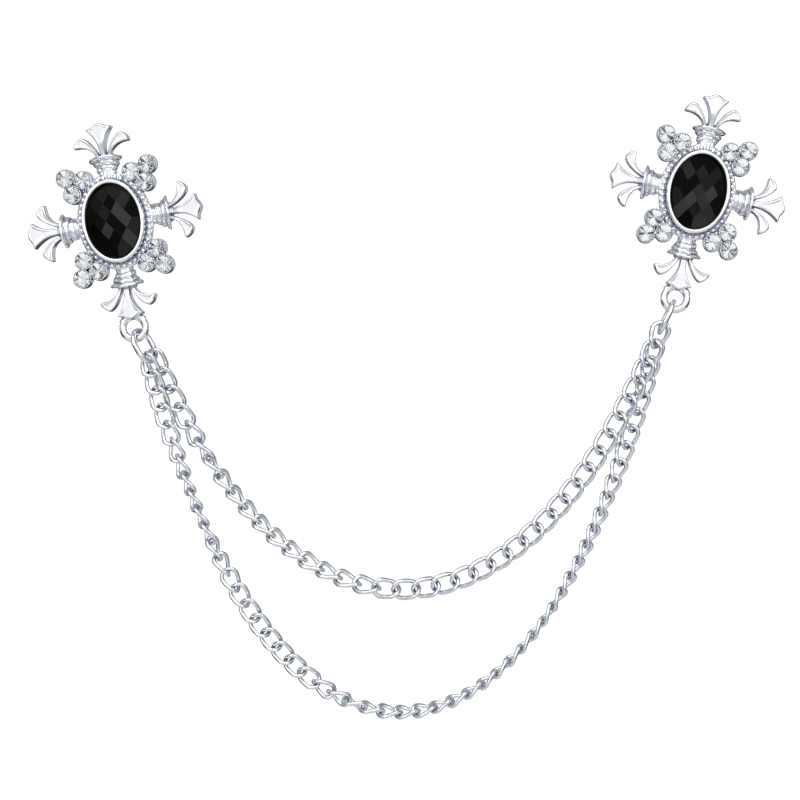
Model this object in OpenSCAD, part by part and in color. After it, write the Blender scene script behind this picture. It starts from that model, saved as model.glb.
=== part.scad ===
/* [Stone] */
// Length of the oval stone, up the brooch
stone_l = 14; // [10:0.5:18]
// Width of the oval stone
stone_w = 10; // [8:0.5:13]
// Height of the stone's straight side
girdle_h = 1.5; // [1:0.1:2]
// Height of the faceted dome above the side
crown_h = 1.2; // [0.8:0.1:2]
// Width of one lozenge facet
facet_w = 2.5; // [2:0.1:4]

/* [Casting] */
// Thickness of the oval back plate
plate_t = 1.6; // [1.2:0.1:2.5]
// Wall of the bezel round the stone
bezel_t = 1; // [0.7:0.1:1.6]
// Height of the bezel above the plate
bezel_h = 2.5; // [1.8:0.1:3.2]
// Width of the beaded border outside the bezel
border_w = 1.3; // [1.3:0.1:2.2]
// Diameter of one bead of the border
bead_d = 1.05; // [0.7:0.05:1.2]
// Spacing of the beads along the border
bead_pitch = 1.3; // [1.25:0.05:2]

/* [Fleur arms] */
// Distance from the plate's edge to the ring of an arm
neck_l = 2.95; // [2.6:0.05:4]
// Half width of the ring
ring_r = 3.4; // [2.8:0.1:3.8]
// Depth of the ring's axis behind the casting's back face
ring_sink = 0.4; // [0:0.1:0.8]
// Reach of the middle petal beyond the ring
petal_l = 7; // [5.5:0.1:8.5]
// Width of the middle petal at its tip
petal_w = 5.3; // [4:0.1:6]
// Spread of the two side petals, tip to tip
side_w = 11.3; // [9.5:0.1:12]
// Reach of the side petals beyond the ring
side_l = 4.75; // [4:0.05:5.5]
// Height of the middle petal above the back face
petal_h = 3; // [2:0.1:3.6]
// Height of the side petals above the back face
side_h = 2.5; // [1.8:0.1:3.2]
// Depth of the hollow in the face of a petal
scoop_h = 0.5; // [0.3:0.05:0.8]

/* [Trefoils] */
// Diameter of one small round crystal
crystal_d = 3; // [2.4:0.1:3.2]
// Metal between two neighbouring crystal seats
web_t = 0.3; // [0.2:0.05:0.6]
// Metal round the outside of a crystal seat
cup_t = 0.35; // [0.25:0.05:0.6]
// Height of a cup above the back face
cup_h = 2.6; // [2:0.1:3.4]
// Depth of the crystal seat
seat_h = 0.9; // [0.6:0.1:1.2]
// Height of the faceted crown of a crystal
gem_crown_h = 0.55; // [0.4:0.05:0.8]
// Distance of a trefoil's middle from the plate's edge
trefoil_out = 2.3; // [1.9:0.1:2.8]

/* [Hanging loop and connector] */
// Wire of the cast hanging loop
loop_wire = 1.45; // [1.1:0.05:1.7]
// Diameter of the hole in the hanging loop
loop_hole = 2.95; // [2.7:0.05:3.8]
// Wire of the oval connector
conn_wire = 1.05; // [0.8:0.05:1.2]
// Length of the connector over its wire
conn_l = 7.55; // [7.2:0.05:9]
// Width of the connector over its wire
conn_w = 6.5; // [6.2:0.1:7]
// Lean of the left connector inward from straight down
left_swing = 28.8; // [24:0.1:32]
// Lean of the right connector inward from straight down
right_swing = 25.2; // [20:0.1:28]
// Turn of the left connector about its length
left_conn_turn = 60; // [56:1:90]
// Turn of the right connector about its length
right_conn_turn = 90; // [60:1:110]

/* [Upper chain] */
// Number of links in the upper chain
upper_count = 38; // [36:1:42]
// Wire of the upper chain
upper_wire = 0.9; // [0.75:0.05:0.9]
// Length of an upper link over its wire
upper_l = 5.89; // [5.6:0.01:6]
// Width of an upper link over its wire
upper_w = 4.25; // [4:0.05:4.4]

/* [Lower chain] */
// Number of links in the lower chain
lower_count = 54; // [52:1:60]
// Wire of the lower chain
lower_wire = 0.85; // [0.7:0.05:0.85]
// Length of a lower link over its wire
lower_l = 5.39; // [5.1:0.01:5.5]
// Width of a lower link over its wire
lower_w = 4; // [3.8:0.05:4.1]

/* [Chains together] */
// Twist of a link from one end to the other
link_twist = 90; // [84:1:96]
// Fullness of a link's outline, where 1 is a plain oval and less is fuller
link_full = 0.8; // [0.75:0.01:0.9]
// Sway of every second link about the chain
link_sway = 2; // [0:0.5:3]
// Space between the two chains' middles on a connector
chain_apart = 2.5; // [2.4:0.1:2.6]

/* [Back pin] */
// Length of the pin's base bar
bar_l = 20; // [16:0.5:22]
// Width of the base bar
bar_w = 2.4; // [1.8:0.1:3]
// Thickness of the base bar
bar_t = 0.7; // [0.5:0.1:1.2]
// Wire of the pin stem and its posts
stem_wire = 0.9; // [0.7:0.05:1.2]
// Clear space between bar and stem
stem_space = 2; // [1.5:0.1:3]
// Height of the pin above the middle of the stone
pin_rise = 1; // [0:0.1:1.2]

/* [Hang] */
// Distance between the two pins, left to right
pin_spread = 112; // [105:0.5:118]
// Height of the right pin above the left one
pin_step = 5.6; // [0:0.1:8]
// Lean of the left brooch, outward at the top
left_lean = 10; // [5:0.5:15]
// Lean of the right brooch, outward at the top
right_lean = 11.5; // [5:0.5:15]
// Turn of the left brooch's face outward
left_turn = 6; // [0:0.5:10]
// Turn of the right brooch's face outward
right_turn = 1; // [0:0.5:10]

/* [Clearance] */
// Gap between a stone and the metal round it
stone_gap = 0.08; // [0.05:0.01:0.15]
// Gap between two links of a chain
wire_gap = 0.26; // [0.24:0.01:0.3]
// Room between a connector and the links that hang on it, whose ends cross it aslant
hook_gap = 0.6; // [0.5:0.05:0.7]
// Room between a cast loop and the connector, which crosses it aslant
loop_gap = 0.2; // [0.15:0.01:0.3]
// Gap between the base bar and the casting
bar_gap = 0.08; // [0.05:0.01:0.2]

/* [Hidden] */
left = -1;
right = 1;
crystals = 12;

silver = "#c9ced4";
chain_silver = "#bfc5cb";
black = "#15161a";
clear = "#e6edf2";
eps = 0.01;

// Half sizes of the ovals, widest first inside and then outside
seat_half = [stone_w, stone_l] / 2 + [stone_gap, stone_gap];
bezel_half = seat_half + [bezel_t, bezel_t];
plate_half = bezel_half + [border_w, border_w];
bead_half = bezel_half + [border_w, border_w] / 2;

// Oval length by the mean of its squared half sizes
bead_count = floor(2 * PI * sqrt((pow(bead_half.x, 2) + pow(bead_half.y, 2)) / 2) / bead_pitch);

// Turned profile of an arm: [along, radius] in shares of neck_l and ring_r
arm_profile = [
    [-1.45, 0.52], [-0.82, 0.50], [-0.74, 0.62], [-0.60, 0.64], [-0.52, 0.57],
    [-0.44, 0.74], [-0.32, 0.77], [-0.27, 0.70], [-0.17, 0.90], [-0.10, 0.98],
    [0, 1], [0.09, 0.95], [0.12, 0.66], [0.36, 0.50]
];

// Right half of the middle petal: [across, along] in shares of half petal_w and petal_l
middle_half = [
    [0.26, 0.02], [0.27, 0.26], [0.36, 0.43], [0.54, 0.60], [0.78, 0.73], [1, 0.82],
    [0.94, 0.88], [0.58, 0.89], [0.36, 0.95]
];

// Side petal: [across, along] in shares of half side_w and side_l
side_outline = [
    [0.10, 0.08], [0.21, 0.38], [0.31, 0.61], [0.44, 0.82], [0.57, 0.95], [0.69, 1],
    [0.84, 0.92], [0.95, 0.76], [1, 0.62], [0.97, 0.54], [0.81, 0.54], [0.62, 0.50],
    [0.46, 0.40], [0.34, 0.25], [0.27, 0.08]
];
// Where the hollow of each petal lies and how much of the outline it takes
middle_scoop = [0, 0.66, 0.66];
side_scoop = [0.66, 0.70, 0.56];

// Trefoils: direction of the middle and of the outermost cup, for the first quarter
trefoil_dir = 50;
cup_pitch = crystal_d + 2 * stone_gap + web_t;
cup_r = crystal_d / 2 + stone_gap + cup_t;
cup_ring = cup_pitch / sqrt(3);

loop_r = (loop_hole + loop_wire) / 2;
loop_y = -(plate_half.y + neck_l + petal_l + loop_hole / 2);

stem_z = -(bar_gap + bar_t + stem_space + stem_wire / 2);
pin_centre = [0, pin_rise, stem_z];
post_x = (bar_l - stem_wire) / 2;

// Places in the whole part
function lean(side) = side == left ? -left_lean : right_lean;
function face_turn(side) = side == left ? -left_turn : right_turn;
function pin_at(side) = side == left ? [0, 0, 0] : [pin_spread, 0, pin_step];

// A direction or point of a brooch's own frame, turned as the brooch hangs
function stood(v) = [v.x, -v.z, v.y];
function leant(v, a) = [v.x * cos(a) + v.z * sin(a), v.y, v.z * cos(a) - v.x * sin(a)];
function faced(v, a) = [v.x * cos(a) - v.y * sin(a), v.x * sin(a) + v.y * cos(a), v.z];
function turned(side, v) = faced(leant(stood(v), lean(side)), face_turn(side));
function spot(side, p) = pin_at(side) + turned(side, p - pin_centre);

// Connector: its length hangs along pull, its width along across
function unit(v) = v / norm(v);
function swing(side) = side == left ? left_swing : right_swing;
function pull(side) = [-side * sin(swing(side)), 0, -cos(swing(side))];
function flat_across(side) = [cos(swing(side)), 0, -side * sin(swing(side))];
function conn_turn(side) = side == left ? left_conn_turn : right_conn_turn;
function across(side) = flat_across(side) * cos(conn_turn(side)) + [0, sin(conn_turn(side)), 0];
conn_half = [(conn_w - conn_wire) / 2, (conn_l - conn_wire) / 2];
conn_from_loop = loop_r - (loop_wire + conn_wire) / 2 - loop_gap + conn_half.y;
loop_z = loop_wire / 2;
function conn_at(side) = spot(side, [0, loop_y, loop_z]) + conn_from_loop * pull(side);

// Point of the connector's lower bend, off its middle by u
function bend_drop(u) = conn_half.y - conn_half.x + sqrt(pow(conn_half.x, 2) - u * u);
function hook(side, u) = conn_at(side) + bend_drop(u) * pull(side) + u * across(side);

// Chain data: wire, half length and half width on the wire's middle, count, spacing, start
function chain(wire, l, w, count) = [
    wire, (l - wire) / 2, (w - wire) / 2, count,
    l - 2 * wire - wire_gap,
    (l - wire) / 2 - (conn_wire + wire) / 2 - hook_gap
];
upper = chain(upper_wire, upper_l, upper_w, upper_count);
lower = chain(lower_wire, lower_l, lower_w, lower_count);

// Roll of the links about the chain: [share of the chain's length, angle]
upper_roll = [
    [0, 6], [0.027, -5], [0.081, -17], [0.108, -45], [0.135, -72], [0.162, -98],
    [0.189, -113], [0.324, -119], [0.405, -124], [0.432, -138], [0.459, -161],
    [0.486, -175], [0.514, -180], [0.919, -180], [0.973, -189], [1, -207]
];
lower_roll = [
    [0, -26], [0.019, -18], [0.057, -10], [0.075, -32], [0.113, -63], [0.132, -74],
    [0.189, -80], [0.208, -108], [0.245, -148], [0.283, -178], [0.358, -180],
    [0.377, -194], [0.396, -219], [0.434, -262], [0.453, -284], [0.472, -290],
    [0.509, -289], [0.528, -282], [0.623, -268], [0.679, -264], [0.698, -256],
    [0.755, -246], [0.811, -236], [0.83, -226], [0.887, -198], [0.943, -195],
    [0.981, -198], [1, -191]
];

function sinh(x) = (exp(x) - exp(-x)) / 2;
function cosh(x) = (exp(x) + exp(-x)) / 2;
function asinh(x) = ln(x + sqrt(x * x + 1));

// Hanging curve of length l over a span and a rise: its size, found by halving
function sag_of(span, rise, l, low, high, steps) =
    let (mid = (low + high) / 2)
    steps == 0 ? mid
    : 2 * mid * sinh(span / 2 / mid) > sqrt(l * l - rise * rise)
        ? sag_of(span, rise, l, mid, high, steps - 1)
        : sag_of(span, rise, l, low, mid, steps - 1);

// The curve from p to q: [start, level direction, size, lowest point's distance]
function hang(p, q, l) =
    let (
        level = [q.x - p.x, q.y - p.y, 0],
        span = norm(level),
        rise = q.z - p.z,
        size = sag_of(span, rise, l, span / 20, span * 5, 50),
        lowest = span / 2 - size * asinh(rise / (2 * size * sinh(span / 2 / size)))
    )
    [p, level / span, size, lowest];

// Distance along the level at an arc length, then the point and the direction there
function level_at(h, s) = h[3] + h[2] * asinh(s / h[2] - sinh(h[3] / h[2]));
function hang_point(h, s) =
    let (x = level_at(h, s))
    h[0] + x * h[1]
        + [0, 0, h[2] * (cosh((x - h[3]) / h[2]) - cosh(h[3] / h[2]))];
function hang_dir(h, s) =
    let (x = level_at(h, s))
    unit(h[1] + [0, 0, sinh((x - h[3]) / h[2])]);

function chain_length(c) = (c[3] - 1) * c[4] + 2 * c[5];
upper_hang = hang(
    hook(left, chain_apart / 2), hook(right, -chain_apart / 2), chain_length(upper)
);
lower_hang = hang(
    hook(left, -chain_apart / 2), hook(right, chain_apart / 2), chain_length(lower)
);

// Faces round one link, and round its wire
link_sides = 12;
wire_sides = 5;

// Middle of a link's wire at angle t: [along, across, deep] of the link
function link_point(c, t, roll) =
    let (
        turn = link_twist / 2 * cos(t) + roll,
        wide = c[2] * sign(sin(t)) * pow(abs(sin(t)), link_full)
    )
    [c[1] * cos(t), wide * cos(turn), wide * sin(turn)];

function link_ring(c, t, roll) =
    let (
        p = link_point(c, t, roll),
        along = unit(link_point(c, t + 1, roll) - link_point(c, t - 1, roll)),
        out = unit(p - (p * along) * along),
        side = cross(along, out)
    )
    [for (k = [0:wire_sides - 1])
        let (a = 360 * k / wire_sides)
        p + c[0] / 2 * (out * cos(a) + side * sin(a))];

module oval(half, h) {
    scale([half.x / half.y, 1, 1]) cylinder(r = half.y, h = h, $fn = 96);
}

module plate() {
    oval(plate_half, plate_t);
}

module bezel() {
    translate([0, 0, plate_t - eps]) difference() {
        oval(bezel_half, bezel_h + eps);
        translate([0, 0, -1]) oval(seat_half, bezel_h + 2);
    }
}

module beads() {
    for (k = [0:bead_count - 1]) {
        a = 360 * k / bead_count;
        translate([bead_half.x * cos(a), bead_half.y * sin(a), plate_t])
            sphere(d = bead_d, $fn = 24);
    }
}

module arm_turning() {
    points = concat(
        [[0, arm_profile[0][0] * neck_l]],
        [for (p = arm_profile) [p[1] * ring_r, p[0] * neck_l]],
        [[0, arm_profile[len(arm_profile) - 1][0] * neck_l]]
    );
    intersection() {
        translate([0, 0, -ring_sink]) rotate([-90, 0, 0]) rotate_extrude($fn = 48) polygon(points);
        translate([-ring_r, -2 * neck_l, 0]) cube([2 * ring_r, 3 * neck_l, ring_r]);
    }
}

// A flat petal with a hollow in its face, from outline points and the hollow's place
module petal(points, h, hollow_at, hollow_share) {
    difference() {
        linear_extrude(h) polygon(points);
        translate([hollow_at.x, hollow_at.y, h - scoop_h])
            linear_extrude(scoop_h + 1)
            scale(hollow_share)
            translate(-hollow_at)
            polygon(points);
    }
}

module middle_petal() {
    half = [for (p = middle_half) [p.x * petal_w / 2, p.y * petal_l]];
    other = [for (i = [len(half) - 1:-1:0]) [-half[i].x, half[i].y]];
    outline = concat(half, [[0, petal_l]], other);
    petal(outline, petal_h, [0, middle_scoop.y * petal_l], middle_scoop.z);
}

module side_petal() {
    outline = [for (p = side_outline) [p.x * side_w / 2, p.y * side_l]];
    petal(outline, side_h, [side_scoop.x * side_w / 2, side_scoop.y * side_l], side_scoop.z);
}

module arm(reach) {
    translate([0, reach + neck_l, 0]) {
        arm_turning();
        middle_petal();
        side_petal();
        mirror([1, 0, 0]) side_petal();
    }
}

module arms() {
    for (k = [0:3]) rotate([0, 0, 90 * k]) arm(k % 2 == 0 ? plate_half.y : plate_half.x);
}

// Crystal i sits in one of four trefoils, three to each
function quarter(i) = let (q = floor((i - 1) / 3)) [q % 2 == 0 ? 1 : -1, q < 2 ? 1 : -1];
function crystal_at(i) =
    let (
        turn = 45 + 120 * ((i - 1) % 3),
        x = plate_half.x * cos(45) + trefoil_out * cos(trefoil_dir) + cup_ring * cos(turn),
        y = plate_half.y * sin(45) + trefoil_out * sin(trefoil_dir) + cup_ring * sin(turn)
    )
    [x * quarter(i).x, y * quarter(i).y, 0];

module cups() {
    for (i = [1:crystals]) translate(crystal_at(i)) cylinder(r = cup_r, h = cup_h, $fn = 36);
}

module seats() {
    for (i = [1:crystals])
        translate(crystal_at(i) + [0, 0, cup_h - seat_h])
            cylinder(d = crystal_d + 2 * stone_gap, h = seat_h + 1, $fn = 36);
}

module hanging_loop() {
    translate([0, loop_y, loop_z])
        rotate_extrude($fn = 48) translate([loop_r, 0]) circle(d = loop_wire, $fn = 24);
}

module placed(side) {
    translate(pin_at(side))
        rotate([0, 0, face_turn(side)])
        rotate([0, lean(side), 0])
        rotate([90, 0, 0])
        translate(-pin_centre)
        children();
}

module casting(side) {
    color(silver) placed(side) difference() {
        union() {
            plate();
            bezel();
            beads();
            arms();
            cups();
            hanging_loop();
        }
        seats();
    }
}

// All that lies above the facet centred at x, y of the dome
module facet_cut(x, y, half) {
    slope = 2 * crown_h * [x / pow(half.x, 2), y / pow(half.y, 2)];
    z = crown_h * (1 - pow(x / half.x, 2) - pow(y / half.y, 2) - pow(facet_w / 2 / half.x, 2));
    size = 4 * max(half.x, half.y);
    translate([x, y, girdle_h + z])
        rotate([0, 0, atan2(slope.y, slope.x)])
        rotate([0, atan(norm(slope)), 0])
        translate([-size / 2, -size / 2, 0])
        cube([size, size, size]);
}

module stone(side) {
    half = [stone_w, stone_l] / 2;
    step = [facet_w / 2, facet_w / 2 * half.y / half.x];
    reach = [ceil(half.x / step.x), ceil(half.y / step.y)];
    sides = 40;
    color(black) placed(side) translate([0, 0, plate_t + stone_gap]) difference() {
        linear_extrude(girdle_h + crown_h)
            polygon([for (k = [0:sides - 1])
                [half.x * cos(360 * k / sides), half.y * sin(360 * k / sides)]]);
        for (i = [-reach.x:reach.x]) for (j = [-reach.y:reach.y])
            if ((i + j) % 2 == 0 && pow(i * step.x / half.x, 2) + pow(j * step.y / half.y, 2) < 1)
                facet_cut(i * step.x, j * step.y, half);
    }
}

module crystal(side, i) {
    facets = 8;
    table_r = crystal_d * 0.28;
    slope = atan(gem_crown_h / (crystal_d / 2 - table_r));
    color(clear) placed(side) translate(crystal_at(i) + [0, 0, cup_h - seat_h + stone_gap])
        difference() {
            cylinder(d = crystal_d, h = seat_h + gem_crown_h - stone_gap, $fn = 32);
            for (k = [0:facets - 1])
                rotate([0, 0, 360 * k / facets])
                translate([crystal_d / 2, 0, seat_h - stone_gap])
                rotate([0, slope - 90, 0])
                translate([0, -crystal_d, 0])
                cube([crystal_d, 2 * crystal_d, 2 * crystal_d]);
        }
}

module pin(side) {
    color(silver) placed(side) translate([0, pin_rise, 0]) {
        translate([-bar_l / 2, -bar_w / 2, -bar_gap - bar_t]) cube([bar_l, bar_w, bar_t]);
        for (x = [-post_x, post_x])
            translate([x, 0, stem_z])
                cylinder(d = stem_wire, h = -stem_z - bar_gap - eps, $fn = 24);
        translate([-bar_l / 2, 0, stem_z]) rotate([0, 90, 0])
            cylinder(d = stem_wire, h = bar_l, $fn = 24);
    }
}

module connector(side) {
    straight = 2 * (conn_half.y - conn_half.x);
    color(silver) translate(conn_at(side))
        rotate([0, side * swing(side), 0])
        rotate([0, 0, conn_turn(side)])
        rotate([90, 0, 0])
        for (end = [0, 180]) rotate([0, 0, end]) {
            translate([0, straight / 2, 0])
                rotate_extrude(angle = 180, $fn = 48)
                translate([conn_half.x, 0])
                circle(d = conn_wire, $fn = 24);
            translate([conn_half.x, -straight / 2, 0]) rotate([-90, 0, 0])
                cylinder(d = conn_wire, h = straight, $fn = 24);
        }
}

// One twisted link at arc length s of a hanging curve
module link(c, h, s, roll) {
    dir = hang_dir(h, s);
    flat = cross([0, 0, 1], h[1]);
    up = cross(dir, flat);
    middle = hang_point(h, s);
    local = [for (i = [0:link_sides - 1]) each link_ring(c, 360 * i / link_sides, roll)];
    total = link_sides * wire_sides;
    polyhedron(
        points = [for (p = local) middle + p.x * dir + p.y * up + p.z * flat],
        faces = [for (i = [0:link_sides - 1]) for (k = [0:wire_sides - 1])
            let (
                a = i * wire_sides + k,
                b = i * wire_sides + (k + 1) % wire_sides,
                step = wire_sides
            )
            each [
                [a, (a + step) % total, b],
                [b, (a + step) % total, (b + step) % total]
            ]]
    );
}

// Every second link sways the other way, less so at the two ends
module chain_of(c, h, rolls) {
    last = c[3] - 1;
    for (i = [0:last]) {
        sway = link_sway * (i % 2 == 0 ? 1 : -1) * min(1, i / 3, (last - i) / 3);
        link(c, h, c[5] + i * c[4], lookup(i / last, rolls) + sway);
    }
}

module upper_chain() {
    color(chain_silver) chain_of(upper, upper_hang, upper_roll);
}

module lower_chain() {
    color(chain_silver) chain_of(lower, lower_hang, lower_roll);
}

casting(left);  // left_casting
casting(right);  // right_casting
stone(left);  // left_stone
stone(right);  // right_stone
for (i = [1:crystals]) {
    crystal(left, i);
    crystal(right, i);
}
pin(left);  // left_pin
pin(right);  // right_pin
connector(left);  // left_connector
connector(right);  // right_connector
upper_chain();
lower_chain();
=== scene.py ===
import bmesh
import bpy
import math
from mathutils import Matrix, Vector


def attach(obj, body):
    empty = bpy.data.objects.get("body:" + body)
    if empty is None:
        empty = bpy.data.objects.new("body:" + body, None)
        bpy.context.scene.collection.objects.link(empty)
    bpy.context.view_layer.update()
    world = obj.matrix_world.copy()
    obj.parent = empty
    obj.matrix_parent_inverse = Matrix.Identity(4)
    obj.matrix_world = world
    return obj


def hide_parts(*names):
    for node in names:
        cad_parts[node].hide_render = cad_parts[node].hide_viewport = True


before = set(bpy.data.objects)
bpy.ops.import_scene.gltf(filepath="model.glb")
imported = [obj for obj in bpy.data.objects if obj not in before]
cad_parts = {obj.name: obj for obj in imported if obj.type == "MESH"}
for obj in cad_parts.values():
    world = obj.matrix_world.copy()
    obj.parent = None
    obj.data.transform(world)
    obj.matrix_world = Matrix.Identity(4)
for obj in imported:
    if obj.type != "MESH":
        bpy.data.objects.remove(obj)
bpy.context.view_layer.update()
print("frame loaded,", len(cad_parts), "nodes")

# Brooches are modelled lying on their backs in millimetres, x to the right, y up the brooch and
# z out of the face, and are then scaled and stood up in their places
millimetre = 0.001
sides = {"left": -1, "right": 1}
tiny = 0.001       # corners closer than this are one corner
near = 0.01        # an edge or face this close to a place is the one meant
starter = 0.1      # size of the small square that each drawn loop starts from

hang = {
    "pinAt": {"left": (0, 0, 0), "right": (112, 0, 5.6)},
    "lean": {"left": -10, "right": 11.5},   # degrees, outward at the top
    "faceTurn": {"left": -6, "right": 1},   # degrees, each face to its own side
    "pinCentre": (0, 1, -3.23),             # middle of the pin's stem behind a brooch
}


def turn(degrees, axis):
    return Matrix.Rotation(math.radians(degrees), 4, axis)


def move(x, y, z):
    return Matrix.Translation((x, y, z))


def standing(side):
    # from a brooch lying at the origin to the same brooch as it hangs, in millimetres
    return (move(*hang["pinAt"][side]) @ turn(hang["faceTurn"][side], "Z")
            @ turn(hang["lean"][side], "Y") @ turn(90, "X")
            @ Matrix.Translation(-Vector(hang["pinCentre"])))


def focus(piece):
    # the piece alone is selected and active
    if bpy.context.mode != "OBJECT":
        bpy.ops.object.mode_set(mode="OBJECT")
    bpy.ops.object.select_all(action="DESELECT")
    piece.select_set(True)
    bpy.context.view_layer.objects.active = piece


def openMesh(piece, mode="FACE"):
    focus(piece)
    bpy.ops.object.mode_set(mode="EDIT")
    bpy.ops.mesh.select_mode(type=mode)


def closeMesh(smooth=True):
    bpy.ops.mesh.select_all(action="SELECT")
    bpy.ops.mesh.normals_make_consistent(inside=False)
    bpy.ops.object.mode_set(mode="OBJECT")
    if smooth:
        bpy.ops.object.shade_smooth()


def pick(kind, test):
    # selects the corners, edges or faces whose middle passes the test
    bpy.ops.mesh.select_mode(type=kind)
    bpy.ops.mesh.select_all(action="DESELECT")
    mesh = bpy.context.edit_object.data
    shape = bmesh.from_edit_mesh(mesh)
    for part in {"VERT": shape.verts, "EDGE": shape.edges, "FACE": shape.faces}[kind]:
        corners = [part] if kind == "VERT" else part.verts
        middle = sum((corner.co for corner in corners), Vector()) / len(corners)
        if test(middle):
            part.select_set(True)
    bmesh.update_edit_mesh(mesh)


def named(name):
    bpy.context.active_object.name = name
    bpy.context.active_object.data.name = name
    return bpy.context.active_object


def place(piece, matrix):
    # the piece's place goes into its mesh, so that its object stays at the origin
    focus(piece)
    piece.matrix_world = matrix
    bpy.ops.object.transform_apply(location=True, rotation=True, scale=True)
    return piece


def twin(piece, matrix):
    other = piece.copy()
    other.data = piece.data.copy()
    bpy.context.collection.objects.link(other)
    return place(other, matrix)


def joined(pieces, name):
    focus(pieces[0])
    for piece in pieces:
        piece.select_set(True)
    bpy.ops.object.join()
    return named(name)


def finished(piece, kind, **settings):
    # adds one modifier and applies it
    focus(piece)
    modifier = piece.modifiers.new(kind.title(), kind)
    for key, value in settings.items():
        setattr(modifier, key, value)
    bpy.ops.object.modifier_apply(modifier=modifier.name)


def smoothed(piece, levels):
    finished(piece, "SUBSURF", levels=levels, render_levels=levels)


def extrudeThrough(stations):
    # the selected face goes through sections of middle, size along x, y, z, and turn about z
    for (at, size, angle), (nextAt, nextSize, nextAngle) in zip(stations, stations[1:]):
        nextAt = Vector(nextAt)
        bpy.ops.mesh.extrude_region_move(TRANSFORM_OT_translate={"value": nextAt - Vector(at)})
        if angle:
            bpy.ops.transform.rotate(value=angle, orient_axis="Z", center_override=nextAt)
        ratio = [new / old for new, old in zip(nextSize, size)]
        bpy.ops.transform.resize(value=ratio, center_override=nextAt)
        if nextAngle:
            bpy.ops.transform.rotate(value=-nextAngle, orient_axis="Z", center_override=nextAt)


def startCircle(name, corners, station, upright=False):
    # a filled circle at its first section, lying flat or standing across the y axis
    at, size, angle = station
    bpy.ops.mesh.primitive_circle_add(
        vertices=corners, radius=1, fill_type="NGON", location=at,
        rotation=(math.radians(90) if upright else 0, 0, 0))
    piece = named(name)
    piece.scale = (size[0], size[2], size[1]) if upright else size
    bpy.ops.object.transform_apply(location=True, rotation=True, scale=True)
    openMesh(piece)
    bpy.ops.mesh.select_all(action="SELECT")
    return piece


def traceLoop(corners):
    # a small square shrinks to one corner, which is extruded round to where it began
    bpy.ops.mesh.merge(type="CENTER")
    for a, b in zip(corners, corners[1:] + corners[:1]):
        bpy.ops.mesh.extrude_region_move(TRANSFORM_OT_translate={"value": b - a})


def startLoop(name, corners):
    bpy.ops.mesh.primitive_plane_add(size=starter, location=corners[0])
    piece = named(name)
    bpy.ops.object.transform_apply(location=True)
    openMesh(piece, "VERT")
    bpy.ops.mesh.select_all(action="SELECT")
    traceLoop(corners)
    return piece


def drawLoop(corners):
    # another loop in the open mesh
    bpy.ops.mesh.select_all(action="DESELECT")
    bpy.ops.mesh.primitive_plane_add(size=starter, location=corners[0])
    traceLoop(corners)


def bridgeLoops(piece, first, count):
    # joins the loop of so many corners that starts at one corner to the next loop
    bpy.ops.mesh.select_mode(type="EDGE")
    bpy.ops.mesh.select_all(action="DESELECT")
    shape = bmesh.from_edit_mesh(piece.data)
    for edge in shape.edges:
        if all(first <= corner.index < first + 2 * count for corner in edge.verts):
            edge.select_set(True)
    bmesh.update_edit_mesh(piece.data)
    bpy.ops.mesh.bridge_edge_loops()


def between(table, share):
    # the value at a share, on the straight lines between a table's rows
    for (a, low), (b, high) in zip(table, table[1:]):
        if share <= b:
            return low + (high - low) * (share - a) / (b - a)
    return table[-1][1]


# Plate and bezel: half width, half height and height above the back of each step
plate = {
    "corners": 128,
    "steps": [
        (7.1, 9.1, 0), (7.38, 9.38, 0.25), (7.38, 9.38, 1.3), (7.3, 9.3, 1.48), (7.12, 9.12, 1.56),
        (6.16, 8.16, 1.6), (6.1, 8.1, 1.9), (6.08, 8.08, 3.5), (6.05, 8.05, 3.86),
        (5.96, 7.96, 4.02), (5.84, 7.84, 4.07), (5.54, 7.54, 4.08), (5.45, 7.45, 4.05),
        (5.37, 7.37, 3.95), (5.2, 7.2, 3.68), (5.12, 7.12, 3.52), (5.08, 7.08, 3.3),
        (5.08, 7.08, 1.62),
    ],
}


def makePlate():
    stations = [((0, 0, z), (x, y, 1), 0) for x, y, z in plate["steps"]]
    piece = startCircle("plate", plate["corners"], stations[0])
    extrudeThrough(stations)
    closeMesh()
    return piece


beads = {
    "diameter": 1.08,
    "pitch": 1.17,
    "halfWidth": 6.73,
    "halfHeight": 8.73,
    "base": 1.6,
    "flat": -0.1,      # a bead is cut flat this far from its middle
    "segments": 14, "rings": 9,
    "fine": 1440,      # points on the oval that the beads' spots are chosen from
}


def beadSpots():
    # points all round an oval, the same distance apart along it
    fine = beads["fine"]
    points = []
    for k in range(fine + 1):
        angle = 2 * math.pi * k / fine
        points.append(Vector((beads["halfWidth"] * math.cos(angle),
                              beads["halfHeight"] * math.sin(angle), 0)))
    lengths = [0]
    for a, b in zip(points, points[1:]):
        lengths.append(lengths[-1] + (b - a).length)
    count = int(lengths[-1] / beads["pitch"])
    spots = []
    for k in range(count):
        i = next(i for i, run in enumerate(lengths) if run >= lengths[-1] * k / count)
        spots.append(points[i])
    return spots


def makeBeads():
    bpy.ops.mesh.primitive_uv_sphere_add(
        segments=beads["segments"], ring_count=beads["rings"], radius=beads["diameter"] / 2)
    bead = named("bead")
    openMesh(bead)
    bpy.ops.mesh.select_all(action="SELECT")
    bpy.ops.mesh.bisect(
        plane_co=(0, 0, beads["flat"]), plane_no=(0, 0, 1), clear_inner=True, use_fill=True)
    closeMesh()
    copies = [twin(bead, move(spot.x, spot.y, beads["base"])) for spot in beadSpots()]
    bpy.data.objects.remove(bead)
    return joined(copies, "beads")


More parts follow.
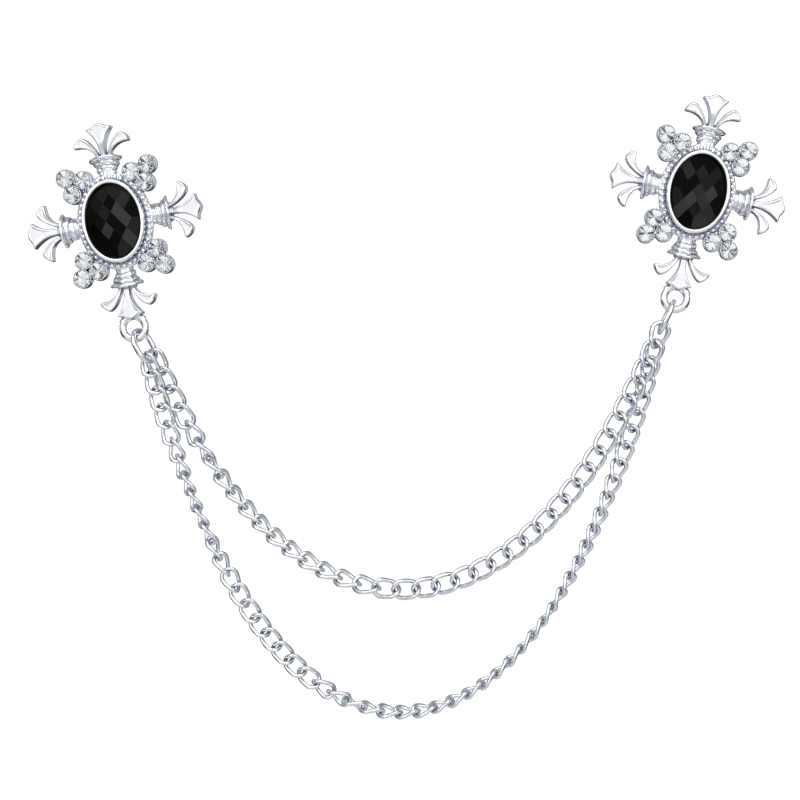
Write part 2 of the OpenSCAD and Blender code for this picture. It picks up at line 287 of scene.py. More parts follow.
# An arm lies along y with its ring at y = 0: a turned collar, and three petals that grow from it
collar = {
    "corners": 40,
    "sink": 0.4,       # depth of the axis behind the back
    "bow": 0.34,       # the front of the ring leans this far towards the petals
    "bowed": (-2.9, 0.5),    # the stretch of the arm that leans
    "rowWidth": 0.005,       # a row's corners are at one height, this share of the radius apart
    "steps": [         # distance along the arm, radius, slant in degrees
        (-4.3, 2.1, 0), (-3.5, 1.9, 0), (-2.8, 1.84, 0), (-2.6, 1.86, 2), (-2.54, 1.98, 4),
        (-2.42, 2.1, 4), (-2.1, 2.17, 4), (-1.8, 2.2, 4), (-1.66, 2.17, 3), (-1.6, 2.1, 2),
        (-1.55, 2.14, -1), (-1.48, 2.4, -4), (-1.36, 2.56, -4), (-1.1, 2.68, -4),
        (-0.84, 2.74, -4), (-0.74, 2.7, -2), (-0.69, 2.6, 0), (-0.65, 2.64, 0), (-0.59, 2.92, 0),
        (-0.46, 3.14, 0), (-0.26, 3.33, 0), (-0.04, 3.4, 0), (0.12, 3.34, 0), (0.22, 3.12, 0),
        (0.26, 2.6, 0), (0.28, 2.1, 0), (0.6, 1.9, 0), (1.1, 1.6, 0),
    ],
}


def makeCollar():
    stations = [((0, along, -collar["sink"]), (r, 1, r), math.radians(slant))
                for along, r, slant in collar["steps"]]
    piece = startCircle("collar", collar["corners"], stations[0], upright=True)
    extrudeThrough(stations)
    bpy.ops.mesh.select_all(action="SELECT")
    bpy.ops.mesh.bisect(plane_co=(0, 0, 0), plane_no=(0, 0, 1), clear_inner=True, use_fill=True)
    start, end = collar["bowed"]
    for k in range(1, collar["corners"] // 4 + 1):     # one row of corners after another
        rise = math.sin(2 * math.pi * k / collar["corners"])

        def onRow(corner):
            height = corner.z + collar["sink"]
            share = height / math.hypot(corner.x, height)
            return (corner.z > near and start < corner.y < end
                    and abs(share - rise) < collar["rowWidth"])

        pick("VERT", onRow)
        bpy.ops.transform.translate(value=(0, collar["bow"] * rise * rise, 0))
    closeMesh()
    return piece


# A petal is drawn as loops of one outline, from the back round the wall and rim into the hollow
petal = {
    "loops": [      # inset, way to the petal's spine, share of the height and of the hollow
        (0, 0.97, 0, 0), (0.1, 0.4, 0, 0), (0.1, 0, 0, 0), (0, 0, 0.05, 0), (0.06, 0, 0.5, 0),
        (0.12, 0, 0.8, 0), (0.18, 0, 0.9, 0), (0.27, 0, 0.965, 0), (0.42, 0, 1, 0),
        (0.62, 0, 1, 0.25), (0.85, 0, 1, 0.7), (0.9, 0.45, 1, 0.9), (0.9, 0.97, 1, 1),
    ],
    "most": 0.8,       # an inset goes at most this share of the way to the spine
    "slit": 0.15,      # slits narrower than this are closed
    "levels": 2,
}

middlePetal = {
    # right and left edge at each step along the petal, then its end from right to left
    "pairs": [((x, y), (-x, y)) for x, y in (
        (0.66, -0.4), (0.68, 0.5), (0.7, 1.5), (0.82, 2.5), (1.05, 3.3), (1.45, 4.2))],
    "end": [
        (2.0, 5.02), (2.5, 5.62), (2.66, 5.88), (2.5, 6.12), (2.05, 6.2), (1.55, 6.26),
        (1.0, 6.62), (0.45, 6.9), (0, 7.0), (-0.45, 6.9), (-1.0, 6.62), (-1.55, 6.26),
        (-2.05, 6.2), (-2.5, 6.12), (-2.66, 5.88), (-2.5, 5.62), (-2.0, 5.02),
    ],
    "hub": (0, 5.0), "root": (0, 0),
    # by the distance from the root
    "heights": [(0, 1.7), (1, 2.3), (2, 2.7), (3, 2.93), (4, 3.0), (5.5, 3.0), (7, 2.85)],
    "hollows": [(0, 0), (1.2, 0), (2.5, 0.04), (4, 0.12), (5.5, 0.16), (7, 0.12)],
}

sidePetal = {
    "pairs": [
        ((1.5, -0.2), (0.45, -0.2)), ((1.58, 0.55), (0.66, 0.65)), ((1.92, 1.19), (0.95, 1.35)),
        ((2.35, 1.68), (1.3, 2.1)), ((2.85, 2.05), (1.75, 2.9)), ((3.5, 2.36), (2.3, 3.68)),
        ((4.3, 2.54), (2.85, 4.25)),
    ],
    "end": [
        (5.15, 2.55), (5.52, 2.62), (5.64, 2.95), (5.4, 3.58), (4.98, 4.14), (4.45, 4.56),
        (3.95, 4.75), (3.42, 4.62),
    ],
    "hub": (4.05, 3.65), "root": (1, 0),
    "heights": [(0, 1.6), (1, 1.95), (2, 2.25), (3, 2.42), (4, 2.5), (5, 2.46), (6, 2.3)],
    "hollows": [(0, 0), (0.8, 0), (2, 0.04), (3, 0.1), (4.2, 0.15), (5.5, 0.12)],
}


def makePetal(name, shape):
    rights, lefts = ([Vector((*pair[k], 0)) for pair in shape["pairs"]] for k in (0, 1))
    middles = [(a + b) / 2 for a, b in zip(rights, lefts)]
    end = [Vector((*corner, 0)) for corner in shape["end"]]
    outline = rights + end + lefts[::-1]
    spine = middles + [Vector((*shape["hub"], 0))] * len(end) + middles[::-1]
    root = Vector((*shape["root"], 0))
    count = len(outline)

    def corner(i, inset, way, rise, sink):
        # inwards between the edge's normal and the spine, and less where the petal is narrow
        onEdge, toSpine = outline[i], spine[i] - outline[i]
        tangent = outline[(i + 1) % count] - outline[i - 1]
        inward = Vector((-tangent.y, tangent.x, 0)).normalized() + toSpine.normalized()
        limit = petal["most"] * toSpine.length
        at = onEdge + inward.normalized() * limit * math.tanh(inset / limit)
        at = at.lerp(spine[i], way)
        run = (at - root).length
        at.z = rise * between(shape["heights"], run) - sink * between(shape["hollows"], run)
        return at

    loops = [[corner(i, *step) for i in range(count)] for step in petal["loops"]]
    piece = startLoop(name, loops[0])
    for corners in loops[1:]:
        drawLoop(corners)
    bpy.ops.mesh.select_all(action="SELECT")
    bpy.ops.mesh.remove_doubles(threshold=tiny)
    for k in range(len(loops) - 1):
        bridgeLoops(piece, k * count, count)
    for seam in (loops[0], loops[-1]):     # the narrow slits along the spine are closed
        pick("VERT", lambda middle: any((middle - point).length < tiny for point in seam))
        bpy.ops.mesh.remove_doubles(threshold=petal["slit"])
    closeMesh()
    smoothed(piece, petal["levels"])
    return piece


def makeArm():
    right = makePetal("sidePetal", sidePetal)
    left = twin(right, Matrix.Identity(4))
    openMesh(left)
    bpy.ops.mesh.select_all(action="SELECT")
    bpy.ops.transform.mirror(constraint_axis=(True, False, False), center_override=(0, 0, 0))
    closeMesh()
    return joined([makeCollar(), makePetal("middlePetal", middlePetal), left, right], "arm")


armReach = {"up": 12.33, "across": 10.33}    # from the stone's middle to the ring of an arm


def makeArms():
    arm = makeArm()
    copies = []
    for k in range(4):
        reach = armReach["up"] if k % 2 == 0 else armReach["across"]
        copies.append(twin(arm, turn(90 * k, "Z") @ move(0, reach, 0)))
    bpy.data.objects.remove(arm)
    return joined(copies, "arms")


trefoil = {
    "middle": (6.7, 8.39),
    "ring": 1.998,                  # from a trefoil's middle to its cups
    "turns": (45, 165, 285),
    "corners": 36,
    "steps": [                      # radius, height
        (1.92, 0), (1.94, 0.2), (1.9, 1.2), (1.82, 2.2), (1.78, 2.42), (1.72, 2.54),
        (1.66, 2.58), (1.6, 2.54), (1.58, 2.44), (1.58, 1.15),
    ],
    "prong": 0.24,                  # radius of the grains that hold a crystal
    "prongTall": 1.15,
    "prongOut": 1.64, "prongHeight": 2.5,
    "prongs": 6, "firstProng": 75,
    "prongSegments": 10, "prongRings": 7,
}


def crystalSpots():
    # the middles of the twelve crystals, three to each quarter
    spots = []
    for signX, signY in ((1, 1), (-1, 1), (1, -1), (-1, -1)):
        for angle in trefoil["turns"]:
            x = trefoil["middle"][0] + trefoil["ring"] * math.cos(math.radians(angle))
            y = trefoil["middle"][1] + trefoil["ring"] * math.sin(math.radians(angle))
            spots.append((x * signX, y * signY))
    return spots


def makeCups():
    stations = [((0, 0, z), (r, r, 1), 0) for r, z in trefoil["steps"]]
    cup = startCircle("cup", trefoil["corners"], stations[0])
    extrudeThrough(stations)
    closeMesh()
    bpy.ops.mesh.primitive_uv_sphere_add(
        segments=trefoil["prongSegments"], ring_count=trefoil["prongRings"],
        radius=trefoil["prong"])
    prong = named("prong")
    openMesh(prong)
    bpy.ops.mesh.select_all(action="SELECT")
    bpy.ops.transform.resize(value=(1, 1, trefoil["prongTall"]), center_override=(0, 0, 0))
    closeMesh()
    prongs = []
    for k in range(trefoil["prongs"]):
        angle = trefoil["firstProng"] + 360 * k / trefoil["prongs"]
        spot = move(trefoil["prongOut"], 0, trefoil["prongHeight"])
        prongs.append(twin(prong, turn(angle, "Z") @ spot))
    bpy.data.objects.remove(prong)
    cup = joined([cup] + prongs, "cup")
    cups = [twin(cup, move(x, y, 0)) for x, y in crystalSpots()]
    bpy.data.objects.remove(cup)
    return joined(cups, "cups")


loop = {
    "middle": (0, -20.805, 0.725), "radius": 2.2, "wire": 0.725,
    "castDepth": 0.75, "castWidth": 1.12,      # it is thicker where it is cast on
    "corners": 64, "wireCorners": 20,
}


def makeLoop():
    bpy.ops.mesh.primitive_torus_add(
        major_radius=loop["radius"], minor_radius=loop["wire"],
        major_segments=loop["corners"], minor_segments=loop["wireCorners"])
    piece = named("loop")
    openMesh(piece)
    pick("VERT", lambda corner: corner.y > loop["radius"] - loop["castDepth"])
    bpy.ops.transform.resize(
        value=(loop["castWidth"], 1, 1), center_override=(0, loop["radius"], 0))
    closeMesh()
    return place(piece, move(*loop["middle"]))


def makeCasting():
    parts = [makePlate(), makeBeads(), makeArms(), makeCups(), makeLoop()]
    return joined(parts, "casting")


# A brilliant-cut crystal, its middle at the origin: radius, height, corners and turn of each ring
crystal = {
    "rings": [
        (0.86, 3.15, 8, 0), (1.24, 2.96, 8, 22.5), (1.55, 2.68, 16, 0), (1.555, 2.58, 16, 0),
        (1.5, 2.5, 16, 0), (1.1, 2.13, 16, 11.25), (0.62, 1.7, 8, 22.5), (0.1, 1.26, 8, 0),
    ],
    "foilBelow": 2.55,
    "turnEach": 17,      # degrees from one crystal's cut to the next one's
}


def makeCrystal():
    radius, height, corners, angle = crystal["rings"][0]
    bpy.ops.mesh.primitive_circle_add(vertices=corners, radius=radius, location=(0, 0, height))
    piece = named("crystal")
    bpy.ops.object.transform_apply(location=True)
    openMesh(piece, "VERT")
    for radius, height, corners, angle in crystal["rings"][1:]:
        bpy.ops.mesh.primitive_circle_add(vertices=corners, radius=radius, location=(0, 0, height),
                                          rotation=(0, 0, math.radians(angle)))
    bpy.ops.mesh.select_all(action="SELECT")
    bpy.ops.mesh.convex_hull()
    closeMesh(smooth=False)
    return piece


def makeCrystals(glass, foil):
    one = makeCrystal()
    one.data.materials.append(glass)
    one.data.materials.append(foil)
    for face in one.data.polygons:
        face.material_index = 1 if face.center.z < crystal["foilBelow"] else 0
    copies = [twin(one, move(x, y, 0) @ turn(crystal["turnEach"] * i, "Z"))
              for i, (x, y) in enumerate(crystalSpots())]
    bpy.data.objects.remove(one)
    return joined(copies, "crystals")


# The pin behind a brooch: a base bar, a hinge at its left end, a hook at its right and the stem
pin = {
    "rise": 1,
    "barLength": 20, "barWidth": 2.4, "barThick": 0.7, "barTop": -0.08,
    "barRound": 1.0, "roundSteps": 8,       # of the bar's corners
    "stemHeight": -3.23, "stemCorners": 24,
    "stemSteps": [      # distance from the middle, radius
        (-9.1, 0.42), (-8.6, 0.45), (6.4, 0.45), (8.2, 0.34), (9.6, 0.12), (9.8, 0.05),
    ],
    "hingeAt": -9.2, "hingeCorners": 32,
    "barrel": 0.72, "barrelWidth": 0.9, "barrelRise": 0.27,      # rises are above the stem
    "cheek": 0.74, "cheekThick": 0.35, "cheekRise": 0.29, "cheekGap": 0.03,
    "cheekFrom": -2.9, "cheekGrow": 0.9, "cheekTop": -0.6,       # grows up into the bar
    "hookAt": 8.9, "hookWidth": 1.5, "hookRadius": 0.78, "hookThick": 0.28, "hookSweep": 250,
    "hookSteps": 24, "hookDrop": 0.42, "hookFoot": -0.4,
    "edges": {"bar": 0.12, "barrel": 0.1, "cheek": 0.06, "hook": 0.05},
    "smoothAngle": 35,
}


def softEdges(piece, part, segments=2):
    finished(piece, "BEVEL", width=pin["edges"][part], segments=segments, limit_method="ANGLE")


def shadeByAngle():
    bpy.ops.object.shade_smooth_by_angle(angle=math.radians(pin["smoothAngle"]))


def makeBar():
    middle = (0, 0, pin["barTop"] - pin["barThick"] / 2)
    bpy.ops.mesh.primitive_cube_add(size=1, location=middle)
    bar = named("bar")
    bar.scale = (pin["barLength"], pin["barWidth"], pin["barThick"])
    bpy.ops.object.transform_apply(location=True, rotation=True, scale=True)
    openMesh(bar)
    pick("EDGE", lambda edge: abs(edge.x) > pin["barLength"] / 2 - near
         and abs(edge.y) > pin["barWidth"] / 2 - near and abs(edge.z - middle[2]) < near)
    bpy.ops.mesh.bevel(offset=pin["barRound"], segments=pin["roundSteps"])
    closeMesh(smooth=False)
    softEdges(bar, "bar", 3)
    shadeByAngle()
    return bar


def makeHinge():
    def disc(name, radius, thick, y, rise):
        bpy.ops.mesh.primitive_cylinder_add(
            vertices=pin["hingeCorners"], radius=radius, depth=thick,
            location=(pin["hingeAt"], y, pin["stemHeight"] + rise),
            rotation=(math.radians(90), 0, 0))
        piece = named(name)
        bpy.ops.object.transform_apply(location=True, rotation=True, scale=True)
        return piece

    barrel = disc("barrel", pin["barrel"], pin["barrelWidth"], 0, pin["barrelRise"])
    softEdges(barrel, "barrel")
    cheeks = []
    for sign in (-1, 1):
        y = sign * (pin["barrelWidth"] / 2 + pin["cheekThick"] / 2 + pin["cheekGap"])
        cheek = disc("cheek", pin["cheek"], pin["cheekThick"], y, pin["cheekRise"])
        openMesh(cheek)
        pick("FACE", lambda face: face.z > pin["cheekFrom"] and abs(face.y - y) < near)
        bpy.ops.mesh.extrude_region_move(
            TRANSFORM_OT_translate={"value": (0, 0, pin["cheekGrow"])})
        bpy.ops.transform.resize(value=(1, 1, 0), center_override=(0, 0, pin["cheekTop"]))
        closeMesh(smooth=False)
        softEdges(cheek, "cheek")
        cheeks.append(cheek)
    hinge = joined([barrel] + cheeks, "hinge")
    shadeByAngle()
    return hinge


def makeHook():
    # a strip stands on the bar and curls over the stem's point
    inner, outer = pin["hookRadius"] - pin["hookThick"], pin["hookRadius"]
    axis = Vector((pin["hookAt"], 0, pin["stemHeight"] + outer - pin["hookDrop"]))
    bpy.ops.mesh.primitive_plane_add(
        size=1, location=axis + Vector((0, (inner + outer) / 2, 0)))
    hook = named("hook")
    hook.scale = (pin["hookWidth"], pin["hookThick"], 1)
    bpy.ops.object.transform_apply(location=True, rotation=True, scale=True)
    openMesh(hook)
    bpy.ops.mesh.select_all(action="SELECT")
    bpy.ops.mesh.spin(steps=pin["hookSteps"], angle=math.radians(pin["hookSweep"]),
                      center=axis, axis=(1, 0, 0))
    bpy.ops.mesh.select_all(action="SELECT")
    bpy.ops.mesh.remove_doubles(threshold=tiny)
    pick("FACE", lambda face: abs(face.z - axis.z) < near and face.y > 0)
    bpy.ops.mesh.extrude_region_move(
        TRANSFORM_OT_translate={"value": (0, 0, pin["hookFoot"] - axis.z)})
    closeMesh(smooth=False)
    softEdges(hook, "hook")
    shadeByAngle()
    return hook


def makeStem():
    stations = [((x, 0, pin["stemHeight"]), (1, r, r), 0) for x, r in pin["stemSteps"]]
    bpy.ops.mesh.primitive_circle_add(
        vertices=pin["stemCorners"], radius=pin["stemSteps"][0][1], fill_type="NGON",
        location=stations[0][0], rotation=(0, math.radians(90), 0))
    stem = named("stem")
    bpy.ops.object.transform_apply(location=True, rotation=True, scale=True)
    openMesh(stem)
    bpy.ops.mesh.select_all(action="SELECT")
    extrudeThrough(stations)
    closeMesh()
    return stem


def makePin():
    piece = joined([makeBar(), makeHinge(), makeHook(), makeStem()], "backPin")
    return place(piece, move(0, pin["rise"], 0))


# The oval connectors hang in the cast loops, turned about their length
connector = {
    "wire": 1.05, "length": 7.55, "width": 6.5,
    "swing": {"left": 28.8, "right": 25.2},    # degrees inward from straight down
    "turn": {"left": 60, "right": 90},
    "loopGap": 0.2,
    "corners": 56, "wireCorners": 16,
}
connectorHalf = ((connector["width"] - connector["wire"]) / 2,
                 (connector["length"] - connector["wire"]) / 2)


def pull(side):
    swing = math.radians(connector["swing"][side])
    return Vector((-sides[side] * math.sin(swing), 0, -math.cos(swing)))


def across(side):
    swing, angle = (math.radians(connector[key][side]) for key in ("swing", "turn"))
    level = Vector((math.cos(swing), 0, -sides[side] * math.sin(swing)))
    return level * math.cos(angle) + Vector((0, math.sin(angle), 0))


def connectorMiddle(side):
    fromLoop = (loop["radius"] - loop["wire"] - connector["wire"] / 2 - connector["loopGap"]
                + connectorHalf[1])
    return standing(side) @ Vector(loop["middle"]) + fromLoop * pull(side)


def stretchHalves(shift):
    # moves the right half of a ring by shift and the left half back by it
    pick("VERT", lambda corner: corner.x > tiny)
    bpy.ops.transform.translate(value=(shift, 0, 0))
    pick("VERT", lambda corner: corner.x < -tiny)
    bpy.ops.transform.translate(value=(-shift, 0, 0))


def frameOf(x, y, at):
    # the matrix that takes the x and y axes along two directions at a place
    z = x.cross(y)
    rows = [(x[i], y[i], z[i], at[i]) for i in range(3)]
    return Matrix(rows + [(0, 0, 0, 1)])


def makeConnector(side):
    bpy.ops.mesh.primitive_torus_add(
        major_radius=connectorHalf[0], minor_radius=connector["wire"] / 2,
        major_segments=connector["corners"], minor_segments=connector["wireCorners"])
    piece = named(side + "Connector")
    openMesh(piece)
    stretchHalves(connectorHalf[1] - connectorHalf[0])
    closeMesh()
    return place(piece, frameOf(pull(side), across(side), connectorMiddle(side)))


# Each chain hangs between the connectors' lower bends; its links are ovals twisted by 90 degrees
chains = {
    "upper": {
        "count": 38, "wire": 0.9, "length": 5.89, "width": 4.25, "onLeft": 1, "onRight": -1,
        "roll": [(0, -6), (0.027, 5), (0.081, 17), (0.108, 45), (0.135, 72), (0.162, 98),
                 (0.189, 113), (0.324, 119), (0.405, 124), (0.432, 138), (0.459, 161),
                 (0.486, 175), (0.514, 180), (0.919, 180), (0.973, 189), (1, 207)],
    },
    "lower": {
        "count": 54, "wire": 0.85, "length": 5.39, "width": 4, "onLeft": -1, "onRight": 1,
        "roll": [(0, 26), (0.019, 18), (0.057, 10), (0.075, 32), (0.113, 63), (0.132, 74),
                 (0.189, 80), (0.208, 108), (0.245, 148), (0.283, 178), (0.358, 180),
                 (0.377, 194), (0.396, 219), (0.434, 262), (0.453, 284), (0.472, 290),
                 (0.509, 289), (0.528, 282), (0.623, 268), (0.679, 264), (0.698, 256),
                 (0.755, 246), (0.811, 236), (0.83, 226), (0.887, 198), (0.943, 195),
                 (0.981, 198), (1, 191)],
    },
}
linkShape = {
    "twist": -90,
    "sway": 2,           # degrees, every second link the other way
    "swayFrom": 3,       # links from an end to the full sway
    "wireGap": 0.26,
    "hookGap": 0.6,
    "apart": 2.5,        # between the two chains on a connector
    "corners": 40, "wireCorners": 12,
}


def makeLink(chain):
    halfLength = (chain["length"] - chain["wire"]) / 2
    halfWidth = (chain["width"] - chain["wire"]) / 2
    bpy.ops.mesh.primitive_torus_add(
        major_radius=halfWidth, minor_radius=chain["wire"] / 2,
        major_segments=linkShape["corners"], minor_segments=linkShape["wireCorners"])
    link = named("link")
    openMesh(link)
    stretchHalves(halfLength - halfWidth)
    closeMesh()
    finished(link, "SIMPLE_DEFORM", deform_method="TWIST", deform_axis="X",
             angle=math.radians(linkShape["twist"]))
    return link


def lowerBend(side, off):
    # a point on the connector's lower bend, off its middle
    drop = (connectorHalf[1] - connectorHalf[0]
            + math.sqrt(connectorHalf[0] ** 2 - off ** 2))
    return connectorMiddle(side) + drop * pull(side) + off * across(side)


class Hanging:
    # the curve of a chain of one length that hangs between two points
    def __init__(self, start, end, length):
        self.start = start
        self.level = Vector((end.x - start.x, end.y - start.y, 0))
        span, rise = self.level.length, end.z - start.z
        self.level.normalize()
        low, high = span / 20, span * 5     # halved again and again until the length fits
        for attempt in range(60):
            middle = (low + high) / 2
            if 2 * middle * math.sinh(span / 2 / middle) > math.sqrt(length ** 2 - rise ** 2):
                low = middle
            else:
                high = middle
        self.size = middle
        self.lowest = span / 2 - middle * math.asinh(
            rise / (2 * middle * math.sinh(span / 2 / middle)))

    def out(self, run):
        return self.lowest + self.size * math.asinh(
            run / self.size - math.sinh(self.lowest / self.size))

    def point(self, run):
        x = self.out(run)
        fall = math.cosh((x - self.lowest) / self.size) - math.cosh(self.lowest / self.size)
        return self.start + x * self.level + Vector((0, 0, self.size * fall))

    def direction(self, run):
        slope = math.sinh((self.out(run) - self.lowest) / self.size)
        return (self.level + Vector((0, 0, slope))).normalized()


def makeChain(name):
    chain = chains[name]
    step = chain["length"] - 2 * chain["wire"] - linkShape["wireGap"]
    first = ((chain["length"] - chain["wire"]) / 2 - (connector["wire"] + chain["wire"]) / 2
             - linkShape["hookGap"])
    off = linkShape["apart"] / 2
    last = chain["count"] - 1
    curve = Hanging(lowerBend("left", chain["onLeft"] * off),
                    lowerBend("right", chain["onRight"] * off), last * step + 2 * first)
    flat = Vector((0, 0, 1)).cross(curve.level)
    link = makeLink(chain)
    links = []
    for i in range(chain["count"]):
        run = first + i * step
        direction = curve.direction(run)
        fromEnd = min(1, i / linkShape["swayFrom"], (last - i) / linkShape["swayFrom"])
        sway = linkShape["sway"] * (-1 if i % 2 == 0 else 1) * fromEnd
        roll = between(chain["roll"], i / last) + sway
        spot = frameOf(direction, direction.cross(flat), curve.point(run)) @ turn(roll, "X")
        links.append(twin(link, spot))
    bpy.data.objects.remove(link)
    return joined(links, name + "Chain")


class Value:
    # a socket that sums can be written with
    def __init__(self, bench, socket):
        self.bench, self.socket = bench, socket

    def maths(self, operation, first, second):
        return self.bench.node("ShaderNodeMath", {"operation": operation}, {0: first, 1: second})

    def __add__(self, other):
        return self.maths("ADD", self, other)

    def __sub__(self, other):
        return self.maths("SUBTRACT", self, other)

    def __rsub__(self, other):
        return self.maths("SUBTRACT", other, self)

    def __mul__(self, other):
        return self.maths("MULTIPLY", self, other)

    def __pow__(self, other):
        return self.maths("POWER", self, other)

    def __abs__(self):
        return self.maths("ABSOLUTE", self, 0)

    __radd__ = __add__
    __rmul__ = __mul__


class Bench:
    # a node tree and the one way to add a node to it: type, settings, then values or links
    def __init__(self, tree):
        self.tree = tree

    def node(self, kind, settings=None, inputs=None, output=0):
        node = self.tree.nodes.new(kind)
        for key, value in (settings or {}).items():
            if key == "stops":
                ramp = node.color_ramp.elements
                while len(ramp) < len(value):
                    ramp.new(0.5)
                for stop, (at, grey) in zip(ramp, value):
                    stop.position = at
                    stop.color = (*grey, 1) if isinstance(grey, tuple) else (grey, grey, grey, 1)
            else:
                setattr(node, key, value)
        self.feed(node, inputs or {})
        return Value(self, node.outputs[output])

    def feed(self, node, inputs):
        for key, value in inputs.items():
            if isinstance(value, Value):
                self.tree.links.new(value.socket, node.inputs[key])
            else:
                node.inputs[key].default_value = value

    def mix(self, factor, first, second):
        return self.node("ShaderNodeMix", {"data_type": "RGBA"}, {0: factor, 6: first, 7: second}, 2)

    def multiply(self, factor, first, second):
        settings = {"data_type": "RGBA", "blend_type": "MULTIPLY"}
        return self.node("ShaderNodeMix", settings, {0: factor, 6: first, 7: second}, 2)

    def noise(self, coordinates, scale, detail=3, roughness=0.5):
        return self.node("ShaderNodeTexNoise", inputs={
            "Vector": coordinates, "Scale": scale, "Detail": detail, "Roughness": roughness})

    def ramp(self, value, stops):
        return self.node("ShaderNodeValToRGB", {"stops": stops}, {0: value})

    def part(self, vector, axis):
        return self.node("ShaderNodeSeparateXYZ", inputs={0: vector}, output="xyz".index(axis))

    def bump(self, look, height):
        return self.node("ShaderNodeBump", inputs={
            "Strength": look["bump"], "Distance": look["lift"], "Height": height})


def newFinish(name):
    material = bpy.data.materials.new(name)
    material.use_nodes = True
    bench = Bench(material.node_tree)
    shader = material.node_tree.nodes["Principled BSDF"]
    coordinates = bench.node("ShaderNodeTexCoord", output=3)
    return material, bench, shader, coordinates


# Bright plated metal: white silver with blue-grey painted shade in its hollows, creases and between
# links (ambient occlusion in the base colour), fine waves and a light haze
# in each look the second colour is painted shade for hollows, creases and the gaps between links,
# laid on by ambient occlusion of that reach and depth
plating = {
    "casting": {
        "bright": (0.94, 0.95, 0.965, 1), "hollow": (0.44, 0.48, 0.54, 1),
        "reach": 0.0007, "depth": 1.3, "rough": (0.06, 0.12), "wave": 420, "grain": 2600,
        "bump": 0.2, "lift": 0.00003,
    },
    "chain": {
        "bright": (0.89, 0.91, 0.94, 1), "hollow": (0.26, 0.3, 0.36, 1),
        "reach": 0.0007, "depth": 1.3, "rough": (0.08, 0.12), "wave": 600, "grain": 3800,
        "bump": 0.15, "lift": 0.00002,
    },
    "connector": {
        "bright": (0.93, 0.94, 0.96, 1), "hollow": (0.3, 0.34, 0.4, 1),
        "reach": 0.0008, "depth": 1.2, "rough": (0.06, 0.1), "wave": 500, "grain": 3000,
        "bump": 0.12, "lift": 0.00002,
    },
    "pin": {
        "bright": (0.72, 0.73, 0.74, 1), "hollow": (0.2, 0.21, 0.23, 1),
        "reach": 0.0012, "depth": 1.2, "rough": (0.18, 0.2), "wave": 300, "grain": 2400,
        "bump": 0.3, "lift": 0.00003,
    },
}
platingShares = {
    "samples": 8,              # rays that look for hollows, for the painted shade
    "dull": 0.08,              # how much the waves dull the metal
    "bump": (0.7, 0.3),        # of the waves and the grain
    "rough": (0.6, 0.4),
}


def makePlating(name):
    look = plating[name]
    material, bench, shader, coordinates = newFinish(name + "Plating")
    wave = bench.noise(coordinates, look["wave"], 2)
    grain = bench.noise(coordinates, look["grain"], 4, 0.6)
    openness = bench.node("ShaderNodeAmbientOcclusion", {"samples": platingShares["samples"]},
                          {"Distance": look["reach"]}, 1)
    # painted shade: where ambient occlusion finds a hollow or crease, the base colour is painted
    # towards the blue-grey shade colour
    clear = openness ** look["depth"] - (1 - wave) * platingShares["dull"]
    low, spread = look["rough"]
    waveBump, grainBump = platingShares["bump"]
    waveRough, grainRough = platingShares["rough"]
    bench.feed(shader, {
        "Metallic": 1.0,
        "Base Color": bench.mix(clear, look["hollow"], look["bright"]),
        "Roughness": low + (wave * waveRough + grain * grainRough) * spread,
        "Normal": bench.bump(look, wave * waveBump + grain * grainBump),
    })
    return material


stoneLook = {
    # the second colour is painted reflection, given facet by facet to the facets that face forward
    "deep": (0.0008, 0.0008, 0.0009, 1), "paintedReflection": (0.04, 0.04, 0.041, 1),
    "facets": 14,                          # higher for more change from facet to facet
    "facetLightTones": [(0.5, 0), (0.58, 0.35), (0.68, 1)],
    "facing": [(0.92, 0), (0.975, 1)],     # only facets that face forward get the painted reflection
    "cloud": 900, "clouding": (0.8, 0.4), "ior": 1.55, "specular": 0.05,
    "rough": (0.03, 0.05), "ripple": 900, "bump": 0.05, "lift": 0.00001,
}


def makeStoneFinish():
    # painted reflection: each facet is painted its own brightness, which follows the facet's
    # direction, and only forward-facing facets get it
    look = stoneLook
    material, bench, shader, coordinates = newFinish("blackStone")
    direction = bench.node("ShaderNodeTexCoord", output=1)
    forward = abs(bench.part(direction, "y"))
    facetLight = bench.ramp(bench.noise(direction, look["facets"], 0), look["facetLightTones"])
    cloud = bench.noise(coordinates, look["cloud"], 2)
    ripple = bench.noise(coordinates, look["ripple"], 2)
    low, spread = look["rough"]
    least, extra = look["clouding"]
    # painted reflection: forward-facing facets are painted lighter, each by its own direction
    paintedReflection = facetLight * bench.ramp(forward, look["facing"]) * (least + cloud * extra)
    bench.feed(shader, {
        "Base Color": bench.mix(paintedReflection, look["deep"], look["paintedReflection"]),
        "Roughness": low + ripple * spread,
        "IOR": look["ior"],
        "Specular IOR Level": look["specular"],
        "Normal": bench.bump(look, ripple),
    })
    return material


crystalLook = {
    "tint": (0.99, 0.995, 1, 1), "edge": (0.96, 0.975, 0.985, 1), "ior": 1.6, "cloud": 900,
    "rough": 0.03, "foilRough": (0.03, 0.08),
    # the second foil colour is painted shade, for the facets that the direction noise picks
    "foil": (0.98, 0.99, 1, 1), "foilPaintedShade": (0.08, 0.1, 0.12, 1),
    "facets": 6, "facetLightTones": [(0.36, 0), (0.42, 0.6), (0.46, 1)],
}


def makeGlass():
    material, bench, shader, coordinates = newFinish("clearCrystal")
    cloud = bench.noise(coordinates, crystalLook["cloud"], 2)
    bench.feed(shader, {
        "Base Color": bench.mix(cloud, crystalLook["edge"], crystalLook["tint"]),
        "Roughness": cloud * crystalLook["rough"],
        "IOR": crystalLook["ior"],
        "Transmission Weight": 1.0,
    })
    return material


